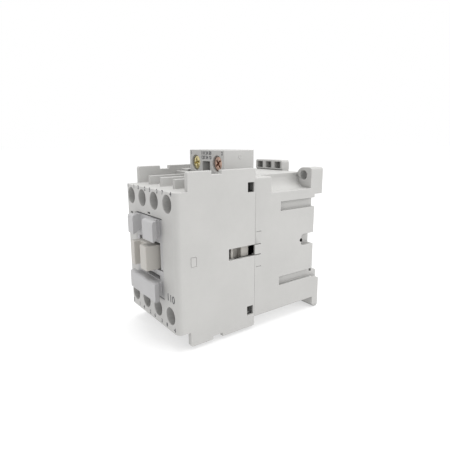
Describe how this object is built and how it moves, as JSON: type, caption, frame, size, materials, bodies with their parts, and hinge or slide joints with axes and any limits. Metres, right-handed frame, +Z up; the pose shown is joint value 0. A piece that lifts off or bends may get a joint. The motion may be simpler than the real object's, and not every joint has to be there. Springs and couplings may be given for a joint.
{
  "type": "din rail contactor",
  "caption": "Multi-pole rail-mounted contactor with recessed screw terminals, a raised coil terminal block, a sliding contact carrier and a sprung rail latch.",
  "frame": {"origin": "middle of the flat rail seat on the back of the base", "axes": "+Y points out of the back towards the rail, +X to the right seen from the front, +Z up"},
  "size_m": [0.045, 0.0858, 0.0784],
  "materials": {
    "housing_plastic": "moulded, light grey, fine matte grain",
    "base_plastic": "moulded, light grey, fine matte grain",
    "guide_plastic": "moulded, light grey",
    "carrier_plastic": "moulded, warm beige, slightly glossier than the casing",
    "coil_block_plastic": "moulded, light grey",
    "bobbin_plastic": "moulded, black",
    "latch_plastic": "moulded, light grey",
    "lamination_steel": "stacked electrical sheet",
    "winding_copper": "enamelled copper wire",
    "ring_copper": "bare copper",
    "contact_brass": "stamped strip",
    "bridge_copper": "stamped copper strip",
    "screw_steel": "zinc plated",
    "screw_yellow_zinc": "yellow zinc plated",
    "screw_copper_tint": "copper tinted plating",
    "clamp_steel": "zinc plated",
    "spring_steel": "drawn wire",
    "pad_rubber": "black rubber"
  },
  "bodies": {
    "casing": {"base_housing": "base_plastic", "coil_bobbin": "bobbin_plastic", "coil_contact_left": "contact_brass", "coil_contact_right": "contact_brass", "coil_terminal_block": "coil_block_plastic", "coil_winding": "winding_copper", "contact_housing": "housing_plastic", "core_pad": "pad_rubber", "fixed_contact_bottom_1": "contact_brass", "fixed_contact_bottom_2": "contact_brass", "fixed_contact_bottom_3": "contact_brass", "fixed_contact_bottom_4": "contact_brass", "fixed_contact_top_1": "contact_brass", "fixed_contact_top_2": "contact_brass", "fixed_contact_top_3": "contact_brass", "fixed_contact_top_4": "contact_brass", "front_guide": "guide_plastic", "latch_spring": "spring_steel", "magnet_core": "lamination_steel", "return_spring_left": "spring_steel", "return_spring_right": "spring_steel", "shading_ring_lower": "ring_copper", "shading_ring_upper": "ring_copper"},
    "carrier": {"contact_carrier": "carrier_plastic", "armature": "lamination_steel", "armature_pin": "screw_steel", "contact_spring_1": "spring_steel", "contact_spring_2": "spring_steel", "contact_spring_3": "spring_steel", "contact_spring_4": "spring_steel"},
    "bridge_body_1": {"bridge_1": "bridge_copper"},
    "bridge_body_2": {"bridge_2": "bridge_copper"},
    "bridge_body_3": {"bridge_3": "bridge_copper"},
    "bridge_body_4": {"bridge_4": "bridge_copper"},
    "latch": {"rail_latch": "latch_plastic"},
    "clamp_top_1": {"terminal_clamp_top_1": "clamp_steel"},
    "screw_top_1": {"terminal_screw_top_1": "screw_steel"},
    "clamp_top_2": {"terminal_clamp_top_2": "clamp_steel"},
    "screw_top_2": {"terminal_screw_top_2": "screw_steel"},
    "clamp_top_3": {"terminal_clamp_top_3": "clamp_steel"},
    "screw_top_3": {"terminal_screw_top_3": "screw_steel"},
    "clamp_top_4": {"terminal_clamp_top_4": "clamp_steel"},
    "screw_top_4": {"terminal_screw_top_4": "screw_steel"},
    "clamp_bottom_1": {"terminal_clamp_bottom_1": "clamp_steel"},
    "screw_bottom_1": {"terminal_screw_bottom_1": "screw_steel"},
    "clamp_bottom_2": {"terminal_clamp_bottom_2": "clamp_steel"},
    "screw_bottom_2": {"terminal_screw_bottom_2": "screw_steel"},
    "clamp_bottom_3": {"terminal_clamp_bottom_3": "clamp_steel"},
    "screw_bottom_3": {"terminal_screw_bottom_3": "screw_steel"},
    "clamp_bottom_4": {"terminal_clamp_bottom_4": "clamp_steel"},
    "screw_bottom_4": {"terminal_screw_bottom_4": "screw_steel"},
    "clamp_coil_left": {"coil_clamp_left": "clamp_steel"},
    "screw_coil_left": {"coil_screw_left": "screw_yellow_zinc"},
    "clamp_coil_right": {"coil_clamp_right": "clamp_steel"},
    "screw_coil_right": {"coil_screw_right": "screw_copper_tint"}
  },
  "joints": [
    {"name": "carrier_slide", "type": "slide", "parent": "casing", "child": "carrier", "axis": [0, 1, 0], "range_m": [0, 0.005], "stiffness_N_per_m": 600, "springref_m": -0.008, "deforming": ["return_spring_left", "return_spring_right"]},
    {"name": "bridge_overtravel_1", "type": "slide", "parent": "carrier", "child": "bridge_body_1", "axis": [0, 1, 0], "range_m": [-0.002, 0], "deforming": ["contact_spring_1"]},
    {"name": "bridge_overtravel_2", "type": "slide", "parent": "carrier", "child": "bridge_body_2", "axis": [0, 1, 0], "range_m": [-0.002, 0], "deforming": ["contact_spring_2"]},
    {"name": "bridge_overtravel_3", "type": "slide", "parent": "carrier", "child": "bridge_body_3", "axis": [0, 1, 0], "range_m": [-0.002, 0], "deforming": ["contact_spring_3"]},
    {"name": "bridge_overtravel_4", "type": "slide", "parent": "carrier", "child": "bridge_body_4", "axis": [0, 1, 0], "range_m": [-0.002, 0], "deforming": ["contact_spring_4"]},
    {"name": "latch_slide", "type": "slide", "parent": "casing", "child": "latch", "axis": [0, 0, 1], "range_m": [0, 0.003], "stiffness_N_per_m": 1200, "springref_m": -0.003, "deforming": ["latch_spring"]},
    {"name": "clamp_lift_top_1", "type": "slide", "parent": "casing", "child": "clamp_top_1", "axis": [0, -1, 0], "range_m": [0, 0.0035]},
    {"name": "screw_turn_top_1", "type": "hinge", "parent": "clamp_top_1", "child": "screw_top_1", "pos_m": [-0.0165, -0.062, 0.0229], "axis": [0, -1, 0], "range_deg": [0, 1800.05]},
    {"name": "clamp_lift_top_2", "type": "slide", "parent": "casing", "child": "clamp_top_2", "axis": [0, -1, 0], "range_m": [0, 0.0035]},
    {"name": "screw_turn_top_2", "type": "hinge", "parent": "clamp_top_2", "child": "screw_top_2", "pos_m": [-0.0055, -0.062, 0.0229], "axis": [0, -1, 0], "range_deg": [0, 1800.05]},
    {"name": "clamp_lift_top_3", "type": "slide", "parent": "casing", "child": "clamp_top_3", "axis": [0, -1, 0], "range_m": [0, 0.0035]},
    {"name": "screw_turn_top_3", "type": "hinge", "parent": "clamp_top_3", "child": "screw_top_3", "pos_m": [0.0055, -0.062, 0.0229], "axis": [0, -1, 0], "range_deg": [0, 1800.05]},
    {"name": "clamp_lift_top_4", "type": "slide", "parent": "casing", "child": "clamp_top_4", "axis": [0, -1, 0], "range_m": [0, 0.0035]},
    {"name": "screw_turn_top_4", "type": "hinge", "parent": "clamp_top_4", "child": "screw_top_4", "pos_m": [0.0165, -0.062, 0.0229], "axis": [0, -1, 0], "range_deg": [0, 1800.05]},
    {"name": "clamp_lift_bottom_1", "type": "slide", "parent": "casing", "child": "clamp_bottom_1", "axis": [0, -1, 0], "range_m": [0, 0.0035]},
    {"name": "screw_turn_bottom_1", "type": "hinge", "parent": "clamp_bottom_1", "child": "screw_bottom_1", "pos_m": [-0.0165, -0.062, -0.0222], "axis": [0, -1, 0], "range_deg": [0, 1800.05]},
    {"name": "clamp_lift_bottom_2", "type": "slide", "parent": "casing", "child": "clamp_bottom_2", "axis": [0, -1, 0], "range_m": [0, 0.0035]},
    {"name": "screw_turn_bottom_2", "type": "hinge", "parent": "clamp_bottom_2", "child": "screw_bottom_2", "pos_m": [-0.0055, -0.062, -0.0222], "axis": [0, -1, 0], "range_deg": [0, 1800.05]},
    {"name": "clamp_lift_bottom_3", "type": "slide", "parent": "casing", "child": "clamp_bottom_3", "axis": [0, -1, 0], "range_m": [0, 0.0035]},
    {"name": "screw_turn_bottom_3", "type": "hinge", "parent": "clamp_bottom_3", "child": "screw_bottom_3", "pos_m": [0.0055, -0.062, -0.0222], "axis": [0, -1, 0], "range_deg": [0, 1800.05]},
    {"name": "clamp_lift_bottom_4", "type": "slide", "parent": "casing", "child": "clamp_bottom_4", "axis": [0, -1, 0], "range_m": [0, 0.0035]},
    {"name": "screw_turn_bottom_4", "type": "hinge", "parent": "clamp_bottom_4", "child": "screw_bottom_4", "pos_m": [0.0165, -0.062, -0.0222], "axis": [0, -1, 0], "range_deg": [0, 1800.05]},
    {"name": "clamp_lift_coil_left", "type": "slide", "parent": "casing", "child": "clamp_coil_left", "axis": [0, -1, 0], "range_m": [0, 0.0021]},
    {"name": "screw_turn_coil_left", "type": "hinge", "parent": "clamp_coil_left", "child": "screw_coil_left", "pos_m": [-0.00845, -0.0438, 0.0365], "axis": [0, -1, 0], "range_deg": [0, 1260.05]},
    {"name": "clamp_lift_coil_right", "type": "slide", "parent": "casing", "child": "clamp_coil_right", "axis": [0, -1, 0], "range_m": [0, 0.0021]},
    {"name": "screw_turn_coil_right", "type": "hinge", "parent": "clamp_coil_right", "child": "screw_coil_right", "pos_m": [0.00845, -0.0438, 0.0365], "axis": [0, -1, 0], "range_deg": [0, 1260.05]}
  ],
  "couplings": [
    {"joint": "bridge_overtravel_1", "follows": "carrier_slide", "ratio": -0.4},
    {"joint": "bridge_overtravel_2", "follows": "carrier_slide", "ratio": -0.4},
    {"joint": "bridge_overtravel_3", "follows": "carrier_slide", "ratio": -0.4},
    {"joint": "bridge_overtravel_4", "follows": "carrier_slide", "ratio": -0.4},
    {"joint": "screw_turn_top_1", "follows": "clamp_lift_top_1", "rad_per_m": 8976},
    {"joint": "screw_turn_top_2", "follows": "clamp_lift_top_2", "rad_per_m": 8976},
    {"joint": "screw_turn_top_3", "follows": "clamp_lift_top_3", "rad_per_m": 8976},
    {"joint": "screw_turn_top_4", "follows": "clamp_lift_top_4", "rad_per_m": 8976},
    {"joint": "screw_turn_bottom_1", "follows": "clamp_lift_bottom_1", "rad_per_m": 8976},
    {"joint": "screw_turn_bottom_2", "follows": "clamp_lift_bottom_2", "rad_per_m": 8976},
    {"joint": "screw_turn_bottom_3", "follows": "clamp_lift_bottom_3", "rad_per_m": 8976},
    {"joint": "screw_turn_bottom_4", "follows": "clamp_lift_bottom_4", "rad_per_m": 8976},
    {"joint": "screw_turn_coil_left", "follows": "clamp_lift_coil_left", "rad_per_m": 10472},
    {"joint": "screw_turn_coil_right", "follows": "clamp_lift_coil_right", "rad_per_m": 10472}
  ]
}
